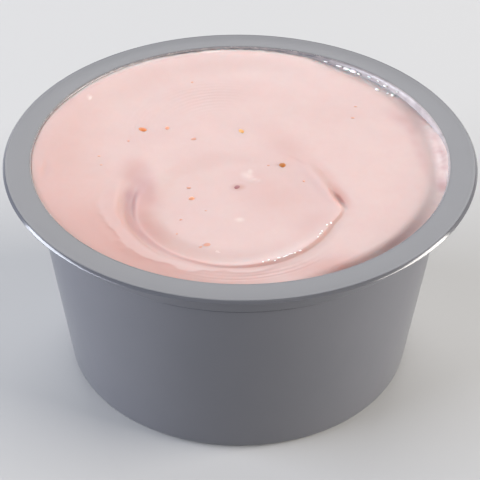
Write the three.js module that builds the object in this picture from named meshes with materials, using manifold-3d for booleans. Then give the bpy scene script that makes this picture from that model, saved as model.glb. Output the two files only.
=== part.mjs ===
// A single-serve dessert cup, brimful of pink fruit cream.
// The cup is a thin moulded shell of even wall: a foot ring, a tapered wall, a stacking collar and a flat
// sealing flange. The cream is one solid up to its uneven surface, with the last dollop lying in it as a
// tilted disc, and the largest seeds and flecks fused to it.
// Millimetres, +Z up. The origin is the middle of the base, on the plane that the foot ring stands on.

import * as THREE from 'three';
import { mergeVertices } from 'three/addons/utils/BufferGeometryUtils.js';
import Module from 'manifold-3d';

// Driving dimensions of the cup
const flangeRadius = 37.5;
const cupHeight = 37.35;
const flangeThickness = 0.5;
const mouthRadius = 33;
const wallThickness = 0.5;
const baseRadius = 27.8;
const wallTopRadius = 32.3;
const collarDrop = 5.5;
const collarTaper = 0.55;
const footRingWidth = 2.9;
const footRingHeight = 0.9;
const aroundCup = 72;

// Rounding of the cup's corners
const baseCornerRound = 1.4;
const underFlangeRound = 0.3;
const flangeRimRound = 0.2;
const mouthRound = 0.45;

// The cream's fit in the cup
const wallGap = 0.3;
const floorGap = 0.3;

// Depth of the cream below the flange's top face where it meets the wall, every 45 degrees from +X round by +Y
const levelAtWall = [-0.9, -1.6, -0.5, -0.5, -0.25, -0.6, -1.2, -2.0];
const fieldLevel = -1.15;
const fieldFallPerMm = 0.005;
const wallReach = 7;
const edgeRoll = 0.15;
const edgeRollReach = 0.9;

// The last dollop: a disc that lies tilted in the cream, sunk on its left and proud at the front and right
const dollopCentre = new THREE.Vector2(-1, -11.5);
const dollopRadius = 15.9;
const dollopBulge = { at: -5, halfWidth: 16, size: 1 };
const dollopFlat = { at: 24, halfWidth: 30, size: -0.5 };
const dollopLevel = -1.7;
const dollopTilt = 0.35;
const dollopTiltTowards = -20;
const lipHeight = 0.3;
const lipReach = 2.2;

// What lies round the dollop: a groove at the foot of its lip, and a shallow moat up to the front wall
const grooveDepth = 0.35;
const grooveReach = 1.5;
const moatDepth = 0.3;
const moatReach = 5.5;
const dent = { x: 15.3, y: -9.8, long: 4, wide: 1.4, lie: 114, deep: 0.6 };
const tailRidge = { x: 12.4, y: -5.2, long: 8.5, wide: 1.6, lie: 114, deep: -0.3 };

// Mesh rings of the cream's surface: inside the dollop as shares of its radius, and from its edge to the wall
const dollopRings = [0.18, 0.36, 0.53, 0.69, 0.81, 0.9, 0.96, 0.99];
const fieldRings = [0, 0.055, 0.12, 0.21, 0.33, 0.48, 0.64, 0.79, 0.9, 0.965, 1];
const edgeStep = 0.45;

// Seeds and flecks that show from a step away: place, length, width and turn
const seedHeight = 0.7;
const seedStandsOut = 0.3;
const seeds = [
  { x: -15.9, y: 8.9, long: 1.5, wide: 1.1, turn: 150 },
  { x: -11.9, y: 9.4, long: 0.9, wide: 0.7, turn: 60 },
  { x: 0.1, y: 8.7, long: 1.2, wide: 0.8, turn: 120 },
  { x: 6.7, y: -0.6, long: 1.3, wide: 1.1, turn: 100 },
  { x: -0.4, y: -6.8, long: 1.9, wide: 1.5, turn: 70 },
  { x: -7.5, y: -10.1, long: 1.1, wide: 0.9, turn: 20 },
];

const cupPlastic = new THREE.MeshStandardMaterial({ color: 0x94959b, roughness: 0.42, metalness: 0 });
const fruitCream = new THREE.MeshStandardMaterial({ color: 0xecccc6, roughness: 0.35, metalness: 0 });

// A corner of a profile: radius from the axis, height, and how far it is rounded
function corner(r, z, round = 0, steps = 2) {
  return { at: new THREE.Vector2(r, z), round, steps };
}

// Replaces each rounded corner by points on the curve that touches both of its sides
function roundedProfile(corners) {
  return corners.flatMap(({ at, round, steps }, i) => {
    if (round === 0) return [at];
    const before = corners[i - 1].at;
    const after = corners[i + 1].at;
    const from = at.clone().add(before.clone().sub(at).setLength(round));
    const to = at.clone().add(after.clone().sub(at).setLength(round));
    return new THREE.QuadraticBezierCurve(from, at, to).getPoints(steps);
  });
}

// Turns a profile round the cup's axis into a closed body that stands along +Z
function turned(profile) {
  const body = new THREE.LatheGeometry(profile, aroundCup);
  return body.rotateX(Math.PI / 2);
}

// Where the wall steps out into the collar, outside and inside
const collarBottom = cupHeight - collarDrop;
const stepInside = collarBottom + wallThickness;
const stepHeight = 0.1;

// Inner radius of the cup at a height: the tapered wall, and the collar above its step
function insideRadius(z) {
  if (z > stepInside) {
    return mouthRadius - collarTaper * ((cupHeight - z) / (cupHeight - stepInside));
  }
  return THREE.MathUtils.lerp(baseRadius, wallTopRadius, z / collarBottom) - wallThickness;
}

function cupShell() {
  const underFlange = cupHeight - flangeThickness;
  const collarRadius = mouthRadius + wallThickness;
  const footInside = baseRadius - footRingWidth;
  const floorTop = footRingHeight + wallThickness;
  return turned(roundedProfile([
    corner(0, footRingHeight),
    corner(footInside - wallThickness, footRingHeight),
    corner(footInside, 0),
    corner(baseRadius, 0, baseCornerRound, 4),
    corner(wallTopRadius, collarBottom - stepHeight),
    corner(collarRadius - collarTaper, collarBottom),
    corner(collarRadius, underFlange, underFlangeRound),
    corner(flangeRadius, underFlange, flangeRimRound),
    corner(flangeRadius, cupHeight, flangeRimRound),
    corner(mouthRadius, cupHeight, mouthRound, 3),
    corner(mouthRadius - collarTaper, stepInside),
    corner(insideRadius(stepInside - stepHeight), stepInside - stepHeight),
    corner(insideRadius(wallThickness), wallThickness, baseCornerRound - wallThickness, 3),
    corner(footInside + wallThickness, wallThickness),
    corner(footInside, floorTop),
    corner(0, floorTop),
  ]));
}

// A smooth hump: 1 in the middle, 0 from one reach away on
function hump(distance, reach) {
  const share = Math.min(Math.abs(distance) / reach, 1);
  return (1 + Math.cos(Math.PI * share)) / 2;
}

// The turn from one direction to another, in degrees, from -180 to 180
function turnBetween(a, b) {
  return THREE.MathUtils.euclideanModulo(a - b + 180, 360) - 180;
}

// An oval hollow, or a mound where its depth is negative, with its long side along lie
function ovalHollow(x, y, { x: cx, y: cy, long, wide, lie, deep }) {
  const a = THREE.MathUtils.degToRad(lie);
  const along = (x - cx) * Math.cos(a) + (y - cy) * Math.sin(a);
  const across = (y - cy) * Math.cos(a) - (x - cx) * Math.sin(a);
  return -deep * hump(Math.hypot(along / long, across / wide), 1);
}

// Level of the cream at the wall in a direction, on a smooth line through the levels measured there
function levelTowards(degrees) {
  const place = THREE.MathUtils.euclideanModulo(degrees, 360) / (360 / levelAtWall.length);
  const i = Math.floor(place);
  const ease = (1 - Math.cos(Math.PI * (place - i))) / 2;
  return THREE.MathUtils.lerp(levelAtWall[i], levelAtWall[(i + 1) % levelAtWall.length], ease);
}

// Distance from the dollop's centre to its edge in a direction
function dollopEdge(degrees) {
  const bulge = dollopBulge.size * hump(turnBetween(degrees, dollopBulge.at), dollopBulge.halfWidth);
  const flat = dollopFlat.size * hump(turnBetween(degrees, dollopFlat.at), dollopFlat.halfWidth);
  return dollopRadius + bulge + flat;
}

// How clearly the dollop's edge shows in a direction: not at all at the back, where it runs into the cream
const lipShows = (degrees) => 1 - hump(turnBetween(degrees, 150), 170) ** 2;
const edgeShows = (degrees) => 1 - hump(turnBetween(degrees, 98), 62);

function creamHeight(x, y) {
  const fromAxis = Math.hypot(x, y);
  const level = levelTowards(THREE.MathUtils.radToDeg(Math.atan2(y, x)));
  const toWall = creamRadius(cupHeight + level) - fromAxis;
  const field = fieldLevel - fieldFallPerMm * x;
  const nearWall = hump(toWall, wallReach);
  const around = THREE.MathUtils.lerp(field, level, nearWall) - edgeRoll * hump(toWall, edgeRollReach);

  const dx = x - dollopCentre.x;
  const dy = y - dollopCentre.y;
  const out = Math.hypot(dx, dy);
  const direction = THREE.MathUtils.radToDeg(Math.atan2(dy, dx));
  const pastEdge = out - dollopEdge(direction);
  const lip = lipShows(direction);
  const shows = edgeShows(direction);
  const front = hump(turnBetween(direction, -105), 100);

  const towards = THREE.MathUtils.degToRad(dollopTiltTowards);
  const tilt = dollopTilt * (dx * Math.cos(towards) + dy * Math.sin(towards)) / dollopRadius;
  const onDollop = dollopLevel + tilt + lipHeight * lip * hump(pastEdge + lipReach / 3, lipReach);
  const groove = grooveDepth * lip * shows * hump(pastEdge - edgeStep, grooveReach);
  const moat = moatDepth * front * hump(pastEdge, moatReach);
  const offDollop = around - groove - moat;

  const sharp = THREE.MathUtils.smoothstep(pastEdge, -edgeStep, edgeStep);
  const soft = THREE.MathUtils.smoothstep(pastEdge, -dollopRadius * 0.8, dollopRadius * 0.3);
  const share = THREE.MathUtils.lerp(soft, sharp, shows);
  const marks = ovalHollow(x, y, dent) + ovalHollow(x, y, tailRidge);
  return cupHeight + THREE.MathUtils.lerp(onDollop, offDollop, share) + marks;
}

// Radius of the cream's side at a height
function creamRadius(z) {
  return insideRadius(z) - wallGap;
}

// The cream: rings over the dollop, on to the wall, then down the side and in under it
function creamBody() {
  const points = [];
  const addRing = (place) => {
    for (let i = 0; i < aroundCup; i += 1) points.push(...place((2 * Math.PI * i) / aroundCup));
  };
  const rimPoint = (angle) => {
    const away = new THREE.Vector2(Math.cos(angle), Math.sin(angle));
    const along = dollopCentre.dot(away);
    const reach = -along + Math.sqrt(along ** 2 - dollopCentre.lengthSq() + mouthRadius ** 2);
    const at = away.multiplyScalar(reach).add(dollopCentre);
    const level = levelTowards(THREE.MathUtils.radToDeg(at.angle()));
    return at.setLength(creamRadius(cupHeight + level));
  };
  const edgePoint = (angle, share, past) => {
    const reach = dollopEdge(THREE.MathUtils.radToDeg(angle)) * share + past;
    return new THREE.Vector2(Math.cos(angle), Math.sin(angle)).multiplyScalar(reach).add(dollopCentre);
  };
  const onSurface = (at) => [at.x, at.y, creamHeight(at.x, at.y)];

  points.push(...onSurface(dollopCentre));
  for (const share of dollopRings) addRing((angle) => onSurface(edgePoint(angle, share, 0)));
  for (const share of fieldRings) {
    addRing((angle) => onSurface(edgePoint(angle, 1, edgeStep).lerp(rimPoint(angle), share)));
  }
  const floor = footRingHeight + wallThickness + floorGap;
  const shelf = stepInside + floorGap;
  const side = [
    [creamRadius(shelf), shelf],
    [creamRadius(stepInside - floorGap), shelf],
    [creamRadius(floor), floor],
  ];
  for (const [radius, z] of side) {
    addRing((angle) => {
      const at = rimPoint(angle).setLength(radius);
      return [at.x, at.y, z];
    });
  }
  points.push(0, 0, floor);

  const rings = dollopRings.length + fieldRings.length + side.length;
  const last = points.length / 3 - 1;
  const triangles = [];
  for (let i = 0; i < aroundCup; i += 1) {
    const next = (i + 1) % aroundCup;
    triangles.push(0, 1 + i, 1 + next);
    for (let ring = 0; ring < rings - 1; ring += 1) {
      const inner = 1 + ring * aroundCup;
      const outer = inner + aroundCup;
      triangles.push(inner + i, outer + i, outer + next, inner + i, outer + next, inner + next);
    }
    const under = 1 + (rings - 1) * aroundCup;
    triangles.push(under + i, last, under + next);
  }
  const body = new THREE.BufferGeometry();
  body.setAttribute('position', new THREE.Float32BufferAttribute(points, 3));
  body.setIndex(triangles);
  return body;
}

// A seed or fleck: a low oval grain, sunk in the cream so that only its back stands out
function grain({ x, y, long, wide, turn }) {
  const body = new THREE.SphereGeometry(0.5, 6, 4);
  body.rotateX(Math.PI / 2);
  body.scale(long, wide, seedHeight);
  body.rotateZ(THREE.MathUtils.degToRad(turn));
  return body.translate(x, y, creamHeight(x, y) + seedStandsOut - seedHeight / 2);
}

const wasm = await Module();
wasm.setup();

// A closed mesh as a solid that can be joined to another
function solid(geometry) {
  const bare = geometry.clone();
  bare.deleteAttribute('normal');
  bare.deleteAttribute('uv');
  const merged = mergeVertices(bare, 1e-4);
  return new wasm.Manifold(new wasm.Mesh({
    numProp: 3,
    vertProperties: new Float32Array(merged.attributes.position.array),
    triVerts: new Uint32Array(merged.index.array),
  }));
}

function joined(first, others) {
  const made = others.reduce((sum, other) => sum.add(solid(other)), solid(first)).getMesh();
  const body = new THREE.BufferGeometry();
  body.setAttribute('position', new THREE.BufferAttribute(made.vertProperties, 3));
  body.setIndex(new THREE.BufferAttribute(made.triVerts, 1));
  body.computeVertexNormals();
  return body;
}

function named(name, geometry, material) {
  const mesh = new THREE.Mesh(geometry, material);
  mesh.name = name;
  return mesh;
}

const dessertCup = new THREE.Group();
dessertCup.add(named('cup', cupShell(), cupPlastic));
dessertCup.add(named('dessert', joined(creamBody(), seeds.map(grain)), fruitCream));

export default dessertCup;
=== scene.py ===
# %% [markdown]
# A single-serve dessert cup, filled to the brim with pink fruit cream
#
# The imported model is a fixed frame: it says how large the cup is and where the cream reaches. This lesson
# builds what the eye sees round that frame: the moulded cup, the cream with its last dollop, the thin
# film of cream on the wall, the seeds, and the wet beads, painted near-white as glints. Sizes are in
# millimetres and turned to metres once.

# %% Load the frame and keep its box
import math
import random

import bpy
from mathutils import Matrix, Vector, noise


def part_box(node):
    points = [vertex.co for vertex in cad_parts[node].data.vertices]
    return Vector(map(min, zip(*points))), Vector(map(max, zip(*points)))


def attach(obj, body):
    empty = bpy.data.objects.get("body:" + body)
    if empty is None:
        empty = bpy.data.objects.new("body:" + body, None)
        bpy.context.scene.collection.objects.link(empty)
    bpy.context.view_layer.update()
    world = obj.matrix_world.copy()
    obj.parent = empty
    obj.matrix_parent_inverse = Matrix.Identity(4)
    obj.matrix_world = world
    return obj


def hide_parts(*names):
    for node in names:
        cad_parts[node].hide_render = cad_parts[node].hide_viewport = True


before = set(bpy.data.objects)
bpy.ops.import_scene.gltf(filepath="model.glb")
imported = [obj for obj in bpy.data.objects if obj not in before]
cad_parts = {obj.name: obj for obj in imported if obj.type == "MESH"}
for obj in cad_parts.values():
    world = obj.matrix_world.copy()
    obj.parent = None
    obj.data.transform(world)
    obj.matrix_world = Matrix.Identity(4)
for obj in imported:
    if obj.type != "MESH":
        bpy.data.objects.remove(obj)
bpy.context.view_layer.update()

MM = 0.001
_, cup_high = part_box("cup")
flange_radius = cup_high.x / MM
cup_height = cup_high.z / MM
print(f"cup: {2 * flange_radius:.1f} mm across the flange, {cup_height:.2f} mm tall")

# %% [markdown]
# The camera comes first, because it decides which details matter. The photograph's perspective was worked
# out from the outlines of the flange and the base: a long lens, looking down at the cup from in front.
# Distances are in flange radii, so they still hold if the cup is packed at another size.

# %% Camera
camera_elevation = math.radians(36.6)
camera_distance = 8.739 * flange_radius * MM
aim_below_flange = 0.4467 * flange_radius * MM
camera_roll = math.radians(0.53)

camera = bpy.data.objects.new("camera", bpy.data.cameras.new("camera"))
bpy.context.scene.collection.objects.link(camera)
bpy.context.scene.camera = camera
camera.data.sensor_width = 36
camera.data.lens = 150.45
camera.data.shift_x = 0.001
camera.data.clip_start = 0.02
aim = Vector((0, 0, cup_high.z - aim_below_flange))
back = Vector((0, -math.cos(camera_elevation), math.sin(camera_elevation)))
turned = (-back).to_track_quat("-Z", "Y").to_matrix() @ Matrix.Rotation(camera_roll, 3, "Z")
camera.matrix_world = Matrix.Translation(aim + back * camera_distance) @ turned.to_4x4()
print(f"camera: {camera_distance:.3f} m away, {camera.data.lens} mm lens")

# %% [markdown]
# A few small helpers keep the later cells short. Operators act on whatever is selected, so each piece
# starts from an empty selection, and its vertices are then picked in code by where they are.

# %% Helpers for modelling
def start_fresh():
    """Leaves edit mode and deselects everything, the frame's own nodes included."""
    if bpy.context.mode != "OBJECT":
        bpy.ops.object.mode_set(mode="OBJECT")
    bpy.ops.object.select_all(action="DESELECT")


def edit(piece):
    start_fresh()
    piece.select_set(True)
    bpy.context.view_layer.objects.active = piece
    bpy.ops.object.mode_set(mode="EDIT")


def pick(piece, test):
    """Selects the vertices whose place passes the test. Works from edit mode and returns to it."""
    bpy.ops.mesh.select_mode(type="VERT")
    bpy.ops.mesh.select_all(action="DESELECT")
    bpy.ops.object.mode_set(mode="OBJECT")
    for vertex in piece.data.vertices:
        vertex.select = test(vertex.co)
    bpy.ops.object.mode_set(mode="EDIT")


def place_in_mesh(piece, name):
    """Names a piece and puts its place in its mesh, so that its object sits at the origin."""
    start_fresh()
    piece.select_set(True)
    bpy.context.view_layer.objects.active = piece
    bpy.ops.object.transform_apply(location=True, rotation=True, scale=True)
    piece.name = name
    piece.data.name = name
    return piece


def fit_out(piece, material, slot, *nodes):
    """Gives a finished piece its material, hangs it on the root and hides the nodes that it replaces. The
    slot is not used.
    """
    piece.data.materials.clear()
    piece.data.materials.append(material)
    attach(piece, "root")
    if nodes:
        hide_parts(*nodes)
    triangles = sum(len(face.vertices) - 2 for face in piece.data.polygons)
    print(f"{piece.name}: {triangles} triangles, finish {material.name}")


# %% [markdown]
# A turned piece starts as its outline: one vertex, extruded from corner to corner, as one would click it
# in with a reference drawing behind. Corners are then beveled as vertices, which rounds the line itself,
# and a spin sweeps it round the axis. It is how a moulded pot is drawn too: an outline and an axis.

# %% Helpers for turned pieces
at_the_corner = 0.01 * MM
same_point = 0.001 * MM


def draw_outline(corners):
    """Draws (radius, height) corners in millimetres as a line of vertices in the XZ plane."""
    start_fresh()
    r, z = corners[0]
    bpy.ops.mesh.primitive_plane_add(size=MM, location=(r * MM, 0, z * MM))
    piece = bpy.context.object
    bpy.ops.object.transform_apply(location=True)
    bpy.ops.object.mode_set(mode="EDIT")
    bpy.ops.mesh.select_mode(type="VERT")
    bpy.ops.mesh.select_all(action="SELECT")
    bpy.ops.mesh.merge(type="CENTER")
    for next_r, next_z in corners[1:]:
        step = ((next_r - r) * MM, 0, (next_z - z) * MM)
        bpy.ops.mesh.extrude_vertices_move(TRANSFORM_OT_translate={"value": step})
        r, z = next_r, next_z
    return piece


def round_corner(piece, corner, size, segments):
    at = Vector((corner[0] * MM, 0, corner[1] * MM))
    pick(piece, lambda co: (co - at).length < at_the_corner)
    bpy.ops.mesh.bevel(offset=size * MM, segments=segments, affect="VERTICES")


def spin_round(steps, angle=2 * math.pi):
    """Spins the outline in edit mode round the Z axis, closes its seam and turns its faces outwards."""
    bpy.ops.mesh.select_all(action="SELECT")
    bpy.ops.mesh.spin(steps=steps, angle=angle, center=(0, 0, 0), axis=(0, 0, 1))
    bpy.ops.mesh.select_all(action="SELECT")
    bpy.ops.mesh.remove_doubles(threshold=same_point)
    bpy.ops.mesh.normals_make_consistent(inside=False)
    bpy.ops.object.mode_set(mode="OBJECT")


# %% [markdown]
# Materials are small node networks. One function turns a hex colour to the linear values that Blender
# mixes in, one adds a node with its settings and links, and one links what the nodes give to the shader.
# Values that are the same all over a surface are set on the shader's own sockets.

# %% Helpers for materials
def linear(hex_colour):
    channels = [int(hex_colour[i:i + 2], 16) / 255 for i in (1, 3, 5)]
    return [c / 12.92 if c <= 0.04045 else ((c + 0.055) / 1.055) ** 2.4 for c in channels] + [1]


def add_node(material, kind, settings=None, **inputs):
    """Adds a node. Settings are its properties. Inputs are values or sockets, with _ for a space."""
    node = material.node_tree.nodes.new(kind)
    for name, value in (settings or {}).items():
        setattr(node, name, value)
    for name, value in inputs.items():
        socket = node.inputs[int(name[1:]) if name[1:].isdigit() else name.replace("_", " ")]
        if isinstance(value, bpy.types.NodeSocket):
            material.node_tree.links.new(value, socket)
        else:
            socket.default_value = value
    return node


def new_material(name, **shader_values):
    material = bpy.data.materials.new(name)
    material.use_nodes = True
    shader = material.node_tree.nodes["Principled BSDF"]
    for socket, value in shader_values.items():
        shader.inputs[socket.replace("_", " ")].default_value = value
    return material, shader


def feed(material, shader, **outputs):
    """Links the outputs of nodes to the shader's sockets of these names."""
    for socket, output in outputs.items():
        material.node_tree.links.new(output, shader.inputs[socket.replace("_", " ")])


def per_metre(wavelength_mm):
    """Scale of a pattern in Object coordinates, for one repeat every so many millimetres."""
    return 1 / (wavelength_mm * MM)


# %% [markdown]
# The cup is injection-moulded polypropylene, dyed a cool grey. The mould is finely spark-eroded, so the
# plastic is satin: it shows broad soft highlights and no sharp reflections. Only the flange's outer edge,
# where the two halves of the mould meet, is polished, and draws a crisp white line. Dye that isn't fully
# mixed leaves the faintest clouds. The grain of the erosion is about 0.1 mm, too fine for the picture, so
# it is drawn coarser.

# %% Moulded grey polypropylene
dye_cloud = 9
grain_width = 0.35
grain_depth = 0.01
satin_to = 36.9
polished_from = 37.1

polypropylene, shader = new_material("moulded_grey_polypropylene", IOR=1.46)
places = add_node(polypropylene, "ShaderNodeTexCoord").outputs["Object"]
clouds = add_node(polypropylene, "ShaderNodeTexNoise", Vector=places, Scale=per_metre(dye_cloud), Detail=2)
greys = add_node(polypropylene, "ShaderNodeMix", {"data_type": "RGBA"}, Factor=clouds.outputs["Fac"],
                 _6=linear("#5c5d62"), _7=linear("#616166"))
erosion = add_node(polypropylene, "ShaderNodeTexNoise", Vector=places, Scale=per_metre(grain_width),
                   Detail=3)
grain = add_node(polypropylene, "ShaderNodeBump", Height=erosion.outputs["Fac"], Strength=0.25,
                 Distance=grain_depth * MM)
flattened = add_node(polypropylene, "ShaderNodeVectorMath", {"operation": "MULTIPLY"}, _0=places,
                     _1=(1, 1, 0))
from_axis = add_node(polypropylene, "ShaderNodeVectorMath", {"operation": "LENGTH"},
                     _0=flattened.outputs["Vector"])
polish = add_node(polypropylene, "ShaderNodeMapRange", Value=from_axis.outputs["Value"],
                  From_Min=satin_to * MM, From_Max=polished_from * MM, To_Min=0.3, To_Max=0.13)
feed(polypropylene, shader, Base_Color=greys.outputs[2], Roughness=polish.outputs["Result"],
     Normal=grain.outputs["Normal"])
print(f"{polypropylene.name}: satin, and polished from {polished_from} mm off the axis")

# %% [markdown]
# The cup itself: a thin shell of even wall with a foot ring, a tapered wall, a stacking collar that
# stands a little proud under the flange, and the flat flange that the lid is sealed to. A fine undercut
# parts the collar from the wall and is seen as a dark line. The outline goes out along the underside, up
# the outside, over the flange and down the inside.

# %% Cup
wall = 0.5
mouth_radius = 33
base_radius = 27.8
wall_top_radius = 32.3
collar_taper = 0.55
foot_height = 0.9
foot_width = 2.9
foot_inside = base_radius - foot_width
flange_under = cup_height - wall
collar_height = 5.5
collar_bottom = cup_height - collar_height
collar_radius = mouth_radius + wall
undercut_depth = 0.28
undercut_height = 0.3
inside_step = collar_bottom + wall
step_height = 0.1
rim_bevel_height = 0.4
rim_bevel_width = 0.33
base_inside = base_radius - wall * 0.9
cup_steps = 192
sharp_edge = 28


def inside_radius(height):
    """Inner radius of the cup at a height."""
    if height > inside_step:
        return mouth_radius - collar_taper * (cup_height - height) / (cup_height - inside_step)
    return base_radius + (wall_top_radius - base_radius) * height / collar_bottom - wall


cup_corners = {
    "under_middle": (0, foot_height),
    "foot_in": (foot_inside - wall, foot_height),
    "foot": (foot_inside, 0),
    "base": (base_radius, 0),
    "wall_top": (wall_top_radius, collar_bottom - 2 * undercut_height),
    "undercut": (wall_top_radius - undercut_depth, collar_bottom - undercut_height),
    "undercut_top": (wall_top_radius - undercut_depth, collar_bottom),
    "collar_foot": (collar_radius - collar_taper, collar_bottom),
    "collar_top": (collar_radius, flange_under),
    "rim_low": (flange_radius, flange_under),
    "rim_side": (flange_radius, cup_height - rim_bevel_height),
    "rim_top": (flange_radius - rim_bevel_width, cup_height),
    "mouth": (mouth_radius, cup_height),
    "step_high": (mouth_radius - collar_taper, inside_step),
    "step_low": (inside_radius(inside_step - step_height), inside_step - step_height),
    "base_inside": (base_inside, wall),
    "foot_inside": (foot_inside + wall, wall),
    "floor_edge": (foot_inside, foot_height + wall),
    "floor_middle": (0, foot_height + wall),
}
roundings = {
    "foot_in": (0.3, 3), "foot": (0.3, 3), "base": (1.4, 8), "wall_top": (0.1, 2),
    "collar_foot": (0.12, 3), "collar_top": (0.35, 4), "rim_low": (0.04, 3), "rim_side": (0.09, 4),
    "rim_top": (0.1, 4), "mouth": (0.45, 8), "step_high": (0.1, 2), "base_inside": (0.9, 4),
}
cup = draw_outline(list(cup_corners.values()))
for name, (size, segments) in roundings.items():
    round_corner(cup, cup_corners[name], size, segments)
spin_round(cup_steps)
place_in_mesh(cup, "cup_shell")
bpy.ops.object.shade_smooth_by_angle(angle=math.radians(sharp_edge))
fit_out(cup, polypropylene, "cup_plastic", "cup")

# %% [markdown]
# Fruit cream is mostly water and fat: light goes in, scatters for a millimetre or two and comes out
# again, red further than green and blue. That is why its shadows are warm and soft, and a plain pink
# paint wouldn't do. Its moist skin adds a soft sheen. Values are kept with each point of its mesh: how
# pale the cream is there, partly where it is airier and partly as painted sheen and highlight; a warm
# painted shade where the cream turns from the light and loses its sheen; a darker painted shade in mauve;
# and where it is finely rippled. Each of the first three mixes in a colour of its own.

# %% Moist fruit cream: colour
scattering = 1.4
cream_cloud = 9

fruit_cream, shader = new_material(
    "moist_fruit_cream", IOR=1.42, Subsurface_Weight=1, Subsurface_Scale=scattering * MM,
    Subsurface_Radius=(1, 0.45, 0.36))
places = add_node(fruit_cream, "ShaderNodeTexCoord").outputs["Object"]
clouds = add_node(fruit_cream, "ShaderNodeTexNoise", Vector=places, Scale=per_metre(cream_cloud), Detail=6,
                  Roughness=0.6)
pinks = add_node(fruit_cream, "ShaderNodeMix", {"data_type": "RGBA"}, Factor=clouds.outputs["Fac"],
                 _6=linear("#ba9893"), _7=linear("#c3a7a2"))
# The first colour is a paler pink, partly airy cream and partly painted sheen and highlight; the second and
# third are painted shade, warm and mauve.
for kept_value, colour in (("pale", "#dccfcd"), ("painted_warm_shade", "#b0796f"), ("painted_mauve_shade", "#a87878")):
    amount = add_node(fruit_cream, "ShaderNodeAttribute", {"attribute_name": kept_value})
    pinks = add_node(fruit_cream, "ShaderNodeMix", {"data_type": "RGBA"}, Factor=amount.outputs["Fac"],
                     _6=pinks.outputs[2], _7=linear(colour))
print(f"{fruit_cream.name}: light scatters for {scattering} mm")

# %% [markdown]
# The skin of the cream isn't quite even. Filling has dragged faint streaks over it, and where it shook, it
# set in fine rings. Both are less than a tenth of a millimetre deep, so they are bumps in the material and
# not in the mesh. The wave node repeats every 2 pi / 20 of its unit, and its scale allows for that.

# %% Moist fruit cream: skin
streak_width = 1.6
streak_depth = 0.07
ring_spacing = 0.9
ring_depth = 0.02

drag = add_node(fruit_cream, "ShaderNodeMapping", Vector=places, Scale=(1, 0.22, 1), Rotation=(0, 0, 0.2))
streaks = add_node(fruit_cream, "ShaderNodeTexNoise", Vector=drag.outputs["Vector"],
                   Scale=per_metre(streak_width), Detail=4)
streaked = add_node(fruit_cream, "ShaderNodeBump", Height=streaks.outputs["Fac"], Strength=0.3,
                    Distance=streak_depth * MM)
centred = add_node(fruit_cream, "ShaderNodeMapping", Vector=places, Location=(3 * MM, -8 * MM, 0))
waves = add_node(fruit_cream, "ShaderNodeTexWave", {"wave_type": "RINGS", "rings_direction": "Z"},
                 Vector=centred.outputs["Vector"], Scale=2 * math.pi / 20 * per_metre(ring_spacing),
                 Distortion=1.5)
rippled = add_node(fruit_cream, "ShaderNodeAttribute", {"attribute_name": "rippled"})
skin = add_node(fruit_cream, "ShaderNodeBump", Height=waves.outputs["Fac"], Distance=ring_depth * MM,
                Strength=rippled.outputs["Fac"], Normal=streaked.outputs["Normal"])
gloss = add_node(fruit_cream, "ShaderNodeMapRange", Value=clouds.outputs["Fac"], To_Min=0.2, To_Max=0.3)
feed(fruit_cream, shader, Base_Color=pinks.outputs[2], Roughness=gloss.outputs["Result"],
     Normal=skin.outputs["Normal"])
print(f"skin: streaks {streak_width} mm wide and rings {ring_spacing} mm apart")

# %% [markdown]
# The cream's surface is poured and dragged, so no row of extrusions gives it. It is described the way one
# would describe it aloud: a field that rises and falls towards the wall, a disc lying tilted in it, a
# lip, a groove. Each of these is a small function of the place. First come the curves that they are made
# of.

# %% Curves for the relief
def hump(distance, reach):
    """1 in the middle, 0 from one reach away on."""
    return (1 + math.cos(math.pi * min(abs(distance) / reach, 1))) / 2


def ramp(value, low, high):
    """0 below low, 1 above high, smooth in between."""
    share = min(max((value - low) / (high - low), 0), 1)
    return share * share * (3 - 2 * share)


def lerp(a, b, share):
    return a + (b - a) * share


def turn_between(a, b):
    return (a - b + 180) % 360 - 180


def facing(degrees, middle, reach):
    """1 in the direction of the middle, 0 from so many degrees to either side of it on."""
    return hump(turn_between(degrees, middle), reach)


def sector(degrees, middle, full, reach):
    """1 within so many degrees of the middle, and smoothly down to 0 at the reach."""
    return 1 - ramp(abs(turn_between(degrees, middle)), full, reach)


def keyed(values, degrees):
    """A smooth line through values given at even angles from +X round by +Y."""
    place = (degrees % 360) / (360 / len(values))
    i = int(place)
    ease = (1 - math.cos(math.pi * (place - i))) / 2
    return lerp(values[i], values[(i + 1) % len(values)], ease)


def oval(x, y, mark):
    """How far into an oval mark a place is: 1 in its middle, 0 outside it."""
    a = math.radians(mark["lie"])
    dx = x - mark["x"]
    dy = y - mark["y"]
    along = (dx * math.cos(a) + dy * math.sin(a)) / mark["long"]
    across = (dy * math.cos(a) - dx * math.sin(a)) / mark["wide"]
    return hump(math.hypot(along, across), 1)


def spots(x, y, marks):
    """What a list of oval marks adds up to at a place."""
    return sum(mark["rise"] * oval(x, y, mark) for mark in marks)


def ripple(x, y, size, pattern):
    """Smooth random unevenness, from about -1 to 1. Each pattern number gives another one."""
    return noise.noise(Vector((x / size, y / size, pattern)))


# %% [markdown]
# The field is the cream round the dollop. It rises to a low crest before the wall at the left and the
# back, where it rolls over and stops with a ragged edge. At the front right its shoulder dips before the
# wall, and at the right a smear of it climbs towards the mouth of the cup. Levels are counted from the
# top of the flange, and each list goes round from +X by +Y at even angles.

# %% Relief: the field
wall_at_cream = 32.92
cream_rim = 33.17
field_level = -1.2
crests = [-1.2, -1.0, -0.3, -0.2, -0.12, -0.3, -1.1, -1.2]
crest_reaches = [9, 9, 8, 10, 13, 10, 9, 9]
shoulder_drops = [0.2, 0.2, 0.1, 0.1, 0.05, 0.05, 0.1, 0.55]
shoulder_reaches = [4, 3, 2, 1.5, 1.5, 1.5, 2, 3.2]
smear_at = 3
smear_half_width = 23
smear_rise = 1.15
smear_reach = 2.2
smear_curve = 1.6
rim_raggedness = 0.2
waviness = 0.08
fine_waviness = 0.015


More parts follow.
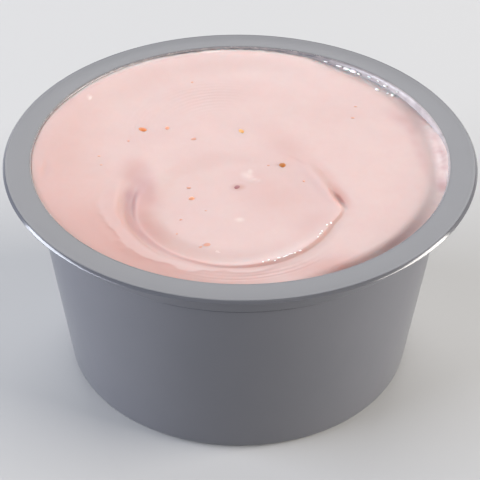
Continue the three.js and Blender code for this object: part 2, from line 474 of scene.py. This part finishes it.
def field_height(x, y):
    towards = math.degrees(math.atan2(y, x))
    to_wall = max(wall_at_cream - math.hypot(x, y), 0)
    smeared = facing(towards, smear_at, smear_half_width)
    ragged = rim_raggedness * ripple(x, y, 1.3, 4) * hump(to_wall, 1.2) * facing(towards, 75, 75)
    drop = keyed(shoulder_drops, towards) * hump(to_wall, keyed(shoulder_reaches, towards))
    reach = smear_reach * (1 + 0.3 * ripple(x, y, 3, 6))
    climb = smear_rise * smeared * max(1 - to_wall / reach, 0) ** smear_curve
    level = lerp(field_level, keyed(crests, towards), hump(to_wall, keyed(crest_reaches, towards)))
    level = level - drop + climb + ragged
    return level + waviness * ripple(x, y, 7, 1) + fine_waviness * ripple(x, y, 1.5, 2)


print(f"field: {field_height(-30, 0):.2f} mm at the left wall, {field_height(0, 10):.2f} mm at the middle")

# %% [markdown]
# The last dollop lies in the field as a disc about 32 mm across, with a blunt point at the right. At its
# front left a flat terrace lies outside the edge, and its border is ragged. Everything about the dollop
# depends on where a place lies from its edge, so that is measured first: the direction from the middle,
# and how far the place is past the edge and past the terrace.

# %% Relief: the dollop's outline
dollop_x = -1
dollop_y = -11.5
dollop_radius = 15.9
tip_at = -5
tip_length = 1.0
flat_at = 24
flat_depth = 0.5
terrace_widths = [1, 1, 1, 1, 1, 2.5, 5, 3.7, 2.5, 1, 0.8, 1]


def dollop_edge(degrees):
    """Distance from the dollop's centre to its edge in a direction."""
    tip = tip_length * facing(degrees, tip_at, 16)
    flat = flat_depth * facing(degrees, flat_at, 30)
    return dollop_radius + tip - flat


def about_dollop(x, y):
    """Direction of a place from the dollop's centre, and how far it lies past the edge and the terrace."""
    dx = x - dollop_x
    dy = y - dollop_y
    direction = math.degrees(math.atan2(dy, dx))
    past_edge = math.hypot(dx, dy) - dollop_edge(direction)
    past_terrace = past_edge - keyed(terrace_widths, direction)
    ragged = 0.9 * ripple(x, y, 4.5, 9) + 0.3 * ripple(x, y, 1.4, 10)
    return direction, past_edge, past_terrace + ragged * hump(past_terrace, 2)


print(f"dollop: {dollop_edge(flat_at):.1f} to {dollop_edge(tip_at):.1f} mm from its centre to its edge")

# %% [markdown]
# The disc is tilted: its left side is sunk under the field, and its front and right stand proud in a thin
# lip. Lists, from +X round by +Y, say how high the disc is at its edge, how high the cream outside it is
# there, and how deep a groove lies between them. From the terrace a bank rises to the wall, and at the
# front low ridges follow the edge. At the back the disc runs into the field without any edge.

# %% Relief: the dollop's heights
dollop_level = -1.78
dollop_tilt = 0.5
tilt_towards = math.radians(-20)
edge_levels = [-1.15, -1.25, -1.4, -1.5, -1.5, -1.5, -1.3, -1.15, -1.2, -1.35, -1.25, -1.15]
outer_levels = [-1.3, -1.25, -1.2, -1.2, -1.2, -1.2, -1.05, -1.15, -1.25, -1.45, -1.4, -1.35]
groove_at = 0.6
groove_depths = [0, 0, 0, 0, 0, 0.15, 0.6, 0.25, 0.08, 0, 0.05, 0.08]
groove_reaches = [1, 1, 1, 1, 3, 3, 2, 1.4, 1.2, 1, 1, 1]
edge_reach = 5
edge_step = 0.3
outer_reach = 5
lip_height = 0.1
lip_reach = 1.6
bank_rise = 0.85
bank_reach = 4.5
ridge_height = 0.035
ridge_spacing = 0.9


def cream_height(x, y):
    """Height of the cream's surface over the cup's base, in millimetres."""
    direction, past_edge, past_terrace = about_dollop(x, y)
    uphill = (x - dollop_x) * math.cos(tilt_towards) + (y - dollop_y) * math.sin(tilt_towards)
    plane = dollop_level + dollop_tilt * uphill / dollop_radius
    on_dollop = lerp(plane, keyed(edge_levels, direction), ramp(past_edge, -edge_reach, 0))
    lip = facing(direction, -50, 80) * hump(past_edge + lip_reach / 2, lip_reach)

    outer_level = keyed(outer_levels, direction)
    around = lerp(outer_level, field_height(x, y), ramp(past_edge, 0, outer_reach))
    bank = outer_level + bank_rise * (1 - math.exp(-max(past_terrace, 0) / bank_reach))
    outside = lerp(around, bank, sector(direction, -125, 45, 80))
    groove_reach = keyed(groove_reaches, direction)
    groove = keyed(groove_depths, direction) * hump(past_edge - groove_at, groove_reach)
    ridges = ridge_height * math.cos(2 * math.pi * past_edge / ridge_spacing) * hump(past_edge - 2.6, 1.8)
    ridges *= facing(direction, -75, 50)

    sharp = ramp(past_edge, -edge_step, edge_step)
    soft = ramp(past_edge, -0.8 * dollop_radius, 0.3 * dollop_radius)
    edge_shows = ramp(abs(turn_between(direction, 110)), 42, 78)
    surface = lerp(on_dollop + lip_height * lip, outside, lerp(soft, sharp, edge_shows))
    return cup_height + surface - groove + ridges + spots(x, y, marks)


# %% [markdown]
# A few marks are too particular for a rule: the dent beside the dollop's point, the ridge that runs back
# from it, a small lump in two parts, and a shallow crack at the left wall. They are ovals with a place, a
# size, a lie in degrees and a rise, and the relief adds them last.

# %% Relief: single marks
marks = [
    {"x": 15.2, "y": -10.0, "long": 3.6, "wide": 0.9, "lie": 114, "rise": -0.3},
    {"x": 12.6, "y": -5.6, "long": 8.5, "wide": 1.9, "lie": 114, "rise": 0.24},
    {"x": 1.2, "y": -3.7, "long": 1.3, "wide": 0.8, "lie": -50, "rise": 0.14},
    {"x": 2.2, "y": -4.4, "long": 1.0, "wide": 0.7, "lie": 20, "rise": 0.12},
    {"x": -30.5, "y": -4.0, "long": 3.4, "wide": 0.8, "lie": 88, "rise": -0.2},
]
print(f"dollop's middle: {cream_height(dollop_x, dollop_y):.2f} mm over the base")

# %% [markdown]
# The mesh for this relief is a disc of rings about the dollop's centre, so that its edges run along the
# lip and the groove. A plain grid would cut both into steps. It is spun from one edge, subdivided evenly,
# and its rings are moved to their places afterwards.

# %% Cream: rings about the dollop
around_cream = 360
rings_inside = 90
rings_at_edge = 50
rings_outside = 95
rings = rings_inside + rings_at_edge + rings_outside
fine_from = -2
fine_to = 3

cream = draw_outline([(0, 0), (1, 0)])
bpy.ops.mesh.select_all(action="SELECT")
bpy.ops.mesh.subdivide(number_cuts=rings - 1)
spin_round(around_cream)
print(f"rings: {rings}, points: {len(cream.data.vertices)}")

# %% [markdown]
# Sculpting moves every point of the disc: its ring goes to where the surface needs it, closest together
# at the lip, and the point is lifted to the relief's height. A brush would do it by eye, but the formula
# can be read, and each value in it tried again.

# %% Cream: sculpt the surface
def ring_radius(ring, angle):
    """Distance of a ring from the dollop's centre, out to just inside the wall's plastic."""
    edge = dollop_edge(math.degrees(angle))
    if ring <= rings_inside:
        return (edge + fine_from) * ring / rings_inside
    if ring <= rings_inside + rings_at_edge:
        return edge + lerp(fine_from, fine_to, (ring - rings_inside) / rings_at_edge)
    along = dollop_x * math.cos(angle) + dollop_y * math.sin(angle)
    to_rim = -along + math.sqrt(along ** 2 - dollop_x ** 2 - dollop_y ** 2 + cream_rim ** 2)
    return lerp(edge + fine_to, to_rim, (ring - rings_inside - rings_at_edge) / rings_outside)


for vertex in cream.data.vertices:
    angle = math.atan2(vertex.co.y, vertex.co.x)
    ring = round(math.hypot(vertex.co.x, vertex.co.y) / MM * rings)
    out = ring_radius(ring, angle)
    x = dollop_x + out * math.cos(angle)
    y = dollop_y + out * math.sin(angle)
    vertex.co = Vector((x, y, cream_height(x, y))) * MM
low = min(vertex.co.z for vertex in cream.data.vertices) / MM
high = max(vertex.co.z for vertex in cream.data.vertices) / MM
print(f"surface from {low:.2f} to {high:.2f} mm over the base")

# %% [markdown]
# The rest of the cream is never seen, but it is still there: its rim is extruded down inside the wall,
# past the step and in to the middle of the floor, so that it is one closed body and light scatters in it
# rightly. It reaches a little into the plastic, so that no light gets in between.

# %% Cream: close the body
into_plastic = 0.15
into_floor = 0.1
over_step = inside_step + step_height
under_step = inside_step - 2 * step_height
cream_floor = foot_height + wall - into_floor
floor_rounding = 0.6
sides = [(inside_radius(over_step) + into_plastic, over_step),
         (inside_radius(under_step) + into_plastic, under_step),
         (inside_radius(cream_floor) - floor_rounding, cream_floor)]
edit(cream)
bpy.ops.mesh.select_mode(type="EDGE")
bpy.ops.mesh.select_all(action="DESELECT")
bpy.ops.mesh.select_non_manifold()
radius = cream_rim
for next_radius, height in sides:
    bpy.ops.mesh.extrude_edges_move(TRANSFORM_OT_translate={"value": (0, 0, 0)})
    share = next_radius / radius
    bpy.ops.transform.resize(value=(share, share, 0), center_override=(0, 0, height * MM))
    radius = next_radius
bpy.ops.mesh.extrude_edges_move(TRANSFORM_OT_translate={"value": (0, 0, 0)})
bpy.ops.mesh.merge(type="CENTER")
bpy.ops.mesh.select_all(action="SELECT")
bpy.ops.mesh.normals_make_consistent(inside=False)
place_in_mesh(cream, "fruit_cream")
bpy.ops.object.shade_smooth()
print(f"cream: closed, {len(cream.data.polygons)} faces")

# %% [markdown]
# Some places have a colour of their own. The lump is airier and paler, as are two flecks, and the far
# side is painted paler as sheen. Warm shade is painted along the left wall, round the dent, on the disc
# and in front of it, and a darker mauve shade into the disc's left side and the cream along the right
# wall. Fine rings lie at the back and at the left. All are ovals again, and here the rise says how much
# of it there is.

# %% Cream: places with a colour of their own
pale_and_sheen_places = [
    {"x": 1.2, "y": -3.6, "long": 2.2, "wide": 1.4, "lie": -60, "rise": 0.4},
    {"x": 2.4, "y": -4.6, "long": 1.2, "wide": 0.8, "lie": 10, "rise": 0.35},
    {"x": 1.6, "y": -2.2, "long": 1.0, "wide": 0.6, "lie": 100, "rise": 0.3},
    {"x": 0.0, "y": -15.0, "long": 1.1, "wide": 0.9, "lie": 0, "rise": 0.28},
    {"x": -25.0, "y": 17.0, "long": 0.7, "wide": 0.5, "lie": 70, "rise": 0.8},
    # Painted sheen over the far side of the field.
    {"x": 3.0, "y": 30.0, "long": 26, "wide": 13, "lie": 0, "rise": 0.12},
]
# Painted warm shade: these ovals darken the cream where it loses light and sheen.
warm_shade_places = [
    {"x": -29.0, "y": 3.0, "long": 24, "wide": 10, "lie": 80, "rise": 0.3},
    {"x": 7.5, "y": 4.0, "long": 11, "wide": 5, "lie": 120, "rise": 0.3},
    {"x": 6.0, "y": -9.0, "long": 13, "wide": 9, "lie": -30, "rise": 0.3},
    {"x": 15.4, "y": -9.0, "long": 5, "wide": 1.7, "lie": 114, "rise": 0.85},
    {"x": 14.0, "y": -4.5, "long": 8, "wide": 2, "lie": 114, "rise": 0.25},
    {"x": -17.0, "y": -2.5, "long": 6, "wide": 4, "lie": 90, "rise": 0.3},
    {"x": 13.0, "y": -27.5, "long": 9, "wide": 4, "lie": 20, "rise": 0.55},
    {"x": 11.0, "y": -17.0, "long": 6, "wide": 4, "lie": 60, "rise": 0.2},
    {"x": -0.3, "y": -6.3, "long": 1.7, "wide": 1.3, "lie": 0, "rise": 0.6},
]
# Painted shade in mauve, darker than the warm one.
mauve_shade_places = [
    {"x": -15.4, "y": -7.8, "long": 10.5, "wide": 3.8, "lie": 97, "rise": 0.75},
    {"x": -17.2, "y": -10.8, "long": 4.8, "wide": 1.5, "lie": 93, "rise": 0.65},
    {"x": -13.6, "y": -18.2, "long": 6, "wide": 3.2, "lie": 122, "rise": 0.35},
    {"x": 27.0, "y": 12.0, "long": 7, "wide": 3, "lie": 126, "rise": 0.5},
    {"x": 31.6, "y": -6.5, "long": 3.5, "wide": 1.6, "lie": 100, "rise": 0.8},
    {"x": 28.6, "y": 4.0, "long": 13, "wide": 1.6, "lie": 98, "rise": 0.4},
    {"x": 25.6, "y": -18.6, "long": 9, "wide": 1.8, "lie": 52, "rise": 0.45},
    {"x": 15.3, "y": -9.6, "long": 3, "wide": 1.2, "lie": 114, "rise": 0.4},
]
rippled_places = [
    {"x": -6.0, "y": 19.0, "long": 12, "wide": 8, "lie": 30, "rise": 1},
    {"x": -16.0, "y": 9.0, "long": 12, "wide": 5, "lie": 95, "rise": 1},
]
print(f"places: {len(pale_and_sheen_places)} pale, {len(warm_shade_places)} warm_shaded, {len(mauve_shade_places)} with puree")

# %% [markdown]
# The rest of the colour follows the shape. Cream is paler where it is thin and full of air: in the fringe
# along the wall at the back and in the smear that climbs the wall, where it is mottled. Over the shaded
# slope at the back right the fringe is painted lighter, on the dollop's lip a painted highlight makes it
# paler, and on the terrace outside it a faint painted reflection.

# %% Cream: how pale it is, with painted sheen
band_starts = [1, 1, 1, 1, 1, 4, 4.2, 1.7, 0.9, 0.6, 0.6, 0.6]


def paleness_and_sheen(x, y):
    direction, past_edge, past_terrace = about_dollop(x, y)
    towards = math.degrees(math.atan2(y, x))
    to_wall = wall_at_cream - math.hypot(x, y)
    fringe = 0.5 * hump(to_wall, 1.2) * facing(towards, 95, 100)
    # Painted light: the fringe is lighter over a shaded slope at the back right.
    fringe += 0.8 * hump(to_wall, 2.4) * facing(towards, 50, 32)
    band_start = keyed(band_starts, direction)
    # Painted reflection: the flat terrace is a little paler.
    band = ramp(past_edge, band_start - 0.4, band_start + 0.4) * (1 - ramp(past_terrace, -0.25, 0.25))
    band *= sector(direction, -130, 45, 65)
    # Painted highlight: the lip is paler.
    lip = hump(past_edge + 1.3, 1.6) * facing(direction, -60, 60)
    smear = (1 - ramp(to_wall, 0.8, 2.4)) * facing(towards, smear_at, 34)
    smear *= max(0.4 + 1.1 * ripple(x, y, 1.1, 5), 0)
    return min(fringe + 0.05 * band + 0.3 * lip + 0.5 * smear + spots(x, y, pale_and_sheen_places), 1)


print(f"paleness: {paleness_and_sheen(0, 32.5):.2f} at the back wall, {paleness_and_sheen(0, 0):.2f} in the middle")

# %% [markdown]
# Warm shade is painted where the cream loses light and sheen: in the crease at the disc's left, in the
# groove round it, on the bank at the front left and in the hollow between the crease and the bank.

# %% Cream: painted warm shade
def warm_shade_amount(x, y):
    direction, past_edge, past_terrace = about_dollop(x, y)
    left_of_disc = ramp(past_edge, -6, -0.5) * (1 - ramp(past_edge, 0.6, 1.6))
    crease = 0.5 * facing(direction, 200, 65) * left_of_disc
    crease += 0.45 * facing(direction, 190, 50) * hump(past_edge - 0.4, 1.3)
    groove = hump(past_edge - 0.3, 1.1) * facing(direction, -75, 80)
    bank = sector(direction, -125, 35, 70) * ramp(past_terrace, -0.1, 0.3)
    hollow = facing(direction, -155, 75) * ramp(past_edge, 0.6, 2.5)
    return min(crease + 0.3 * groove + 0.3 * bank + 0.42 * hollow + spots(x, y, warm_shade_places), 1)


print(f"juiciness: {warm_shade_amount(-17, -12):.2f} in the crease, {warm_shade_amount(0, 10):.2f} in the field")

# %% [markdown]
# The four amounts are now kept with each point of the mesh, as attributes that the material reads by
# their names. Painting them by hand would do the same. The painted mauve shade wavers a little in
# strength.

# %% Cream: keep the amounts with the mesh
# Painted mauve shade, made a little uneven in strength.
def mauve_shade_amount(x, y):
    return min(spots(x, y, mauve_shade_places) * (0.9 + 0.5 * ripple(x, y, 2.5, 7)), 1)


def rippling(x, y):
    return min(spots(x, y, rippled_places), 1)


for name, amount in (("pale", paleness_and_sheen), ("painted_warm_shade", warm_shade_amount), ("painted_mauve_shade", mauve_shade_amount), ("rippled", rippling)):
    attribute = cream.data.attributes.new(name, "FLOAT", "POINT")
    for point, vertex in zip(attribute.data, cream.data.vertices):
        point.value = amount(vertex.co.x / MM, vertex.co.y / MM)
fit_out(cream, fruit_cream, "fruit_cream", "dessert")

# %% [markdown]
# At the right and the back a film of cream clings to the wall, from when the pot was filled: whitish
# where it is thick, while grey plastic shows through where it is thin. How thick it is will be kept with
# its mesh as cover, and its opacity follows that.

# %% Thin film of cream: material
thin_film, shader = new_material("thin_cream_film", Roughness=0.2, IOR=1.42, Base_Color=linear("#bdb3b2"))
cover = add_node(thin_film, "ShaderNodeAttribute", {"attribute_name": "cover"})
opacity = add_node(thin_film, "ShaderNodeMapRange", Value=cover.outputs["Fac"], To_Min=0.3, To_Max=0.85)
feed(thin_film, shader, Alpha=opacity.outputs["Result"])
print(f"{thin_film.name}: see-through where it is thin")

# %% [markdown]
# The film's outline hugs the inside of the wall and the mouth's rounding, and is closed behind, in the
# plastic. It is spun part of the way round. A sheet without thickness would be simpler, but this one is a
# closed body and can be pressed.

# %% Thin film of cream: shape
film_from = -40
film_to = 250
film_thickness = 0.12
film_behind = 0.15
film_foot = -4
film_rows = 9
row_height = 0.4
film_end = 63
degrees_apart = 7
film_steps = 560
mouth_rounding = roundings["mouth"][0]
rounding_radius = mouth_radius + mouth_rounding
rounding_height = cup_height - mouth_rounding


def over_rounding(degrees, over):
    """Outline corner at some degrees up the mouth's rounding, so far over the plastic."""
    out = mouth_rounding + over
    return (rounding_radius - out * math.cos(math.radians(degrees)),
            rounding_height + out * math.sin(math.radians(degrees)))


wall_heights = [cup_height + film_foot + row_height * i for i in range(film_rows)]
wall_part = [(inside_radius(height) - film_thickness, height) for height in wall_heights]
front_part = [over_rounding(degrees, film_thickness) for degrees in range(0, film_end + 1, degrees_apart)]
back_part = [over_rounding(degrees, -film_behind) for degrees in (film_end, 0)]
foot_part = [(inside_radius(wall_heights[0]) + film_behind, wall_heights[0])]
film = draw_outline(wall_part + front_part + back_part + foot_part)
bpy.ops.mesh.select_all(action="SELECT")
bpy.ops.mesh.edge_face_add()
bpy.ops.transform.rotate(value=-math.radians(film_from), orient_axis="Z", center_override=(0, 0, 0))
spin_round(film_steps, -math.radians(film_to - film_from))
place_in_mesh(film, "cream_film")
print(f"film: spun through {film_to - film_from} degrees")

# %% [markdown]
# The film is then pressed thinner or thicker in streaks, most of all at its thick right side, and worn
# thin over the mouth's rounding. Where it is pressed right into the plastic, it has a ragged end.

# %% Thin film of cream: streaks
fade_in = 14
fade_out = 22
thick_side_at = 20
deepest_press = -0.5


def film_cover(towards, height):
    """How thick the film is at a direction and a height over the mouth: 1 is thick, below 0 is none."""
    begun = ramp(towards, film_from, film_from + fade_in)
    ended = ramp(towards, film_to - fade_out, film_to)
    ends = min(begun, 1 - ended)
    thick_side = facing(towards, thick_side_at, 50)
    streaks = 0.35 * ripple(towards * 0.6, height * 1.2, 1.5, 3)
    streaks += 0.2 * ripple(towards * 0.6, height * 2, 0.5, 8)
    streaked = 0.25 + 0.75 * thick_side
    worn = 0.15 * ramp(height, -0.5, 0)
    return 0.35 + 0.55 * thick_side + streaks * streaked - worn - 1.3 * (1 - ends)


attribute = film.data.attributes.new("cover", "FLOAT", "POINT")
for point, vertex in zip(attribute.data, film.data.vertices):
    towards = math.atan2(vertex.co.y, vertex.co.x)
    degrees = math.degrees(towards)
    r = math.hypot(vertex.co.x, vertex.co.y) / MM
    z = vertex.co.z / MM
    cover_here = film_cover(degrees + 360 if degrees < film_from else degrees, z - cup_height)
    over_plastic = film_thickness * max(cover_here, deepest_press)
    point.value = min(max(cover_here, 0), 1)
    if z > rounding_height + 0.001:
        off = Vector((r - rounding_radius, z - rounding_height))
        if off.length > mouth_rounding:
            worn_thin = 1 - 0.8 * ramp(off.y / off.length, 0.7, 0.87)
            off.length = mouth_rounding + over_plastic * worn_thin
            r = rounding_radius + off.x
            z = rounding_height + off.y
    elif r < inside_radius(z):
        r = inside_radius(z) - over_plastic
    vertex.co = Vector((r * math.cos(towards), r * math.sin(towards), z)) * MM
bpy.ops.object.shade_smooth()
fit_out(film, thin_film, "fruit_cream")

# %% [markdown]
# The seeds are strawberry seeds and their like: eggs of a millimetre or so with one pointed end. A sphere
# is drawn out at one end, scaled, turned and sunk in the cream until only its back stands out. The purple
# one is a fleck of fruit skin, and the pale ones are specks that hardly break the surface.

# %% Helpers for small pieces
def seed(x, y, long, wide, turn, stands_out=0.25, high=0.7):
    start_fresh()
    bpy.ops.mesh.primitive_uv_sphere_add(segments=14, ring_count=9, radius=0.5 * MM)
    grain = bpy.context.object
    edit(grain)
    point_from = 0.3 * MM
    pick(grain, lambda co: co.x > point_from)
    bpy.ops.transform.resize(value=(1.25, 0.6, 0.7), center_override=(point_from, 0, 0))
    bpy.ops.object.mode_set(mode="OBJECT")
    grain.scale = (long, wide, high)
    grain.rotation_euler.z = math.radians(turn)
    grain.location = Vector((x, y, cream_height(x, y) + stands_out - high / 2)) * MM
    bpy.ops.object.transform_apply(location=True, rotation=True, scale=True)
    bpy.ops.object.shade_smooth()
    return grain


def join(pieces, name):
    start_fresh()
    for piece in pieces:
        piece.select_set(True)
    bpy.context.view_layer.objects.active = pieces[0]
    if len(pieces) > 1:
        bpy.ops.object.join()
    return place_in_mesh(pieces[0], name)


# %% [markdown]
# Each seed is a place, a length, a width and a turn in degrees, from the photograph. The purple
# fleck and the specks also say how far they stand out and how high they are. Seeds of one colour are one
# piece, because they share their coat: a thin husk that lets a little light in, with a dull gloss.

# %% Seeds
speck_height = 0.24
speck_stands_out = 0.06
speck_shape = 0.65
faint_specks = [
    (-8, -6.5, 0.9, 0), (-9, -14.8, 0.7, 30), (-9.5, -18.5, 0.6, 80), (4.5, -0.7, 0.6, 0),
    (10, -5, 0.7, 110), (-5.2, -12.5, 0.5, 0), (-7.5, 6.3, 1.2, 20), (-18, 5.5, 0.7, 95),
    (-22.5, 1, 0.7, 0), (-22, -1.4, 0.6, 0), (18.4, 12.9, 0.9, 10), (19, 16.4, 0.7, 10),
    (-8.2, 23.4, 0.7, 60), (-4.8, -21.4, 1.5, 20), (-5.8, -22, 0.9, 60),
]
specks = [(x, y, long, speck_shape * long, turn, speck_stands_out, speck_height)
          for x, y, long, turn in faint_specks]
seed_kinds = {
    "orange_red": ("#cc7a48", [(-15.9, 8.9, 1.6, 1.1, 150)]),
    "light_orange": ("#dc9a7c", [(-11.9, 9.4, 0.9, 0.7, 60), (-7.5, -9.3, 1.1, 0.8, 20)]),
    "yellow_orange": ("#d8a064", [(0.1, 8.7, 1.3, 0.8, 120)]),
    "amber": ("#a8662a", [(6.7, -0.6, 1.3, 1.1, 100)]),
    "purple": ("#904c50", [(-0.4, -6.2, 1.5, 1.0, 60, speck_stands_out, 0.3)]),
    "pale_orange": ("#c68a76", specks),
}
for kind, (colour, grains) in seed_kinds.items():
    seeds = join([seed(*grain) for grain in grains], f"seeds_{kind}")
    coat, _ = new_material(f"{kind}_seed_coat", Base_Color=linear(colour), Roughness=0.4, IOR=1.45,
                           Subsurface_Weight=0.3, Subsurface_Scale=0.3 * MM)
    fit_out(seeds, coat, "fruit_seed")

# %% [markdown]
# Whey gathers in wet beads: on the film at the back right and along the lip of the dollop. Each is a
# small dome with a flat foot. They are the sharpest highlights on the cream: they mirror the lamps, and
# their near-white colour is a painted highlight as well.

# %% Wet bead, painted near-white as a glint
# The near-white base colour is a painted highlight, so that each bead reads as a glint.
wet_and_glint_white, _ = new_material("whey_and_glint_beads", Base_Color=linear("#fdf8f8"), Roughness=0.05, IOR=1.36,
                      Subsurface_Weight=0.3, Subsurface_Scale=0.3 * MM)
foot_flatness = 0.3
bead_height = 0.6


def bead(x, y, height, long, wide, turn):
    start_fresh()
    bpy.ops.mesh.primitive_uv_sphere_add(segments=16, ring_count=10, radius=0.5 * MM)
    dome = bpy.context.object
    edit(dome)
    pick(dome, lambda co: co.z < 0)
    bpy.ops.transform.resize(value=(1, 1, foot_flatness), center_override=(0, 0, 0))
    bpy.ops.object.mode_set(mode="OBJECT")
    dome.scale = (long, wide, bead_height * wide)
    dome.rotation_euler.z = math.radians(turn)
    dome.location = Vector((x, y, height)) * MM
    bpy.ops.object.transform_apply(location=True, rotation=True, scale=True)
    bpy.ops.object.shade_smooth()
    return dome


# %% [markdown]
# The beads on the wall are placed one by one, with x, y, height from the top of the flange, length, width
# and turn. Along the lip only the direction and the length are given, and chance does the rest: how far
# inside the edge each lies, how wide it is and how it is turned. The chance is seeded, so it comes out
# the same each time.

# %% Wet beads
on_wall = [
    (16.6, 28.1, -0.65, 1.2, 0.4, 150), (17.9, 27.3, -0.7, 1.3, 0.6, 150),
    (19.0, 26.6, -0.75, 1.5, 0.8, 146), (19.9, 26.0, -0.85, 0.8, 0.5, 120),
    (24.2, 22.0, -0.7, 0.8, 0.6, 130), (22.8, 21.5, -1.15, 0.9, 0.7, 130),
    (24.5, 20.5, -1.2, 0.5, 0.4, 0), (25.3, 19.8, -1.15, 0.8, 0.6, 120),
    (14.4, 29.4, -0.6, 0.8, 0.3, 155), (21.6, 24.6, -0.6, 0.9, 0.3, 135),
    (23.0, 23.3, -0.55, 0.6, 0.25, 130), (26.0, 20.0, -0.6, 0.5, 0.25, 125),
]
on_lip = [
    (-73, 0.3), (-69.5, 0.4), (-66.5, 0.35), (-63.5, 0.5), (-59.5, 1.1), (-56, 0.9), (-53.5, 0.35),
    (-50, 0.5), (-34, 0.3), (-30.5, 0.5), (-28, 0.25), (-21, 0.35), (-18.5, 0.5),
]
luck = random.Random(5)
beads = [bead(x, y, cup_height + z, long, wide, turn) for x, y, z, long, wide, turn in on_wall]
for direction, long in on_lip:
    a = math.radians(direction)
    out = dollop_edge(direction) - luck.uniform(0.15, 0.65)
    x = dollop_x + out * math.cos(a)
    y = dollop_y + out * math.sin(a)
    wide = luck.uniform(0.15, 0.3)
    beads.append(bead(x, y, cream_height(x, y), long, wide, direction + 90 + luck.uniform(-25, 25)))
fit_out(join(beads, "whey_and_glint_beads"), wet_and_glint_white, "fruit_cream")

# %% [markdown]
# The light is a small studio: a softbox high at the back draws the soft sheen on the cream, a low and
# wide one behind it lights the far edge, and a weak one in front fills. Two low softboxes at the sides,
# one slightly blue and one slightly warm, light the wall and leave its middle darker. Each has a
# radiance, so that its size can change and its brightness stays.

# %% Light
bpy.context.scene.view_settings.view_transform = "Standard"
world = bpy.data.worlds.new("studio")
bpy.context.scene.world = world
world.use_nodes = True
world.node_tree.nodes["Background"].inputs["Color"].default_value = (0.9, 0.95, 1, 1)
world.node_tree.nodes["Background"].inputs["Strength"].default_value = 0.05


def softbox(name, azimuth, elevation, distance, width, height, radiance, hex_colour="#ffffff"):
    """A rectangular light that faces the cup. Azimuth is from +X round by +Y."""
    light = bpy.data.lights.new(name, "AREA")
    light.shape = "RECTANGLE"
    light.size = width
    light.size_y = height
    light.energy = radiance * math.pi * width * height
    light.color = linear(hex_colour)[:3]
    lamp = bpy.data.objects.new(name, light)
    bpy.context.scene.collection.objects.link(lamp)
    a = math.radians(azimuth)
    e = math.radians(elevation)
    away = Vector((math.cos(a) * math.cos(e), math.sin(a) * math.cos(e), math.sin(e)))
    lamp.location = away * distance + Vector((0, 0, cup_high.z))
    lamp.rotation_euler = (-away).to_track_quat("-Z", "Y").to_euler()
    print(f"softbox {name}: {light.energy:.1f} W from {azimuth} degrees")


softbox("back_top", 90, 42, 1.0, 0.8, 0.5, 4.6)
softbox("back_low", 90, 14, 1.3, 1.8, 0.5, 1.5)
softbox("front", -90, 60, 1.0, 0.8, 0.5, 0.9)
softbox("left", 190, 15, 1.0, 1.0, 0.36, 19, "#eef3ff")
softbox("right", -8, 15, 1.0, 0.75, 0.35, 24.5, "#fffaf4")

# %% [markdown]
# The floor is a plain pale sheet, wide enough to fill the picture, and belongs to the stage and not to
# the cup.

# %% Floor
floor_size = 4
start_fresh()
bpy.ops.mesh.primitive_plane_add(size=floor_size)
floor = place_in_mesh(bpy.context.object, "floor")
paper, _ = new_material("pale_floor", Roughness=0.9, Base_Color=linear("#b8b8b8"))
floor.data.materials.append(paper)
print(f"floor: {floor_size} m square")
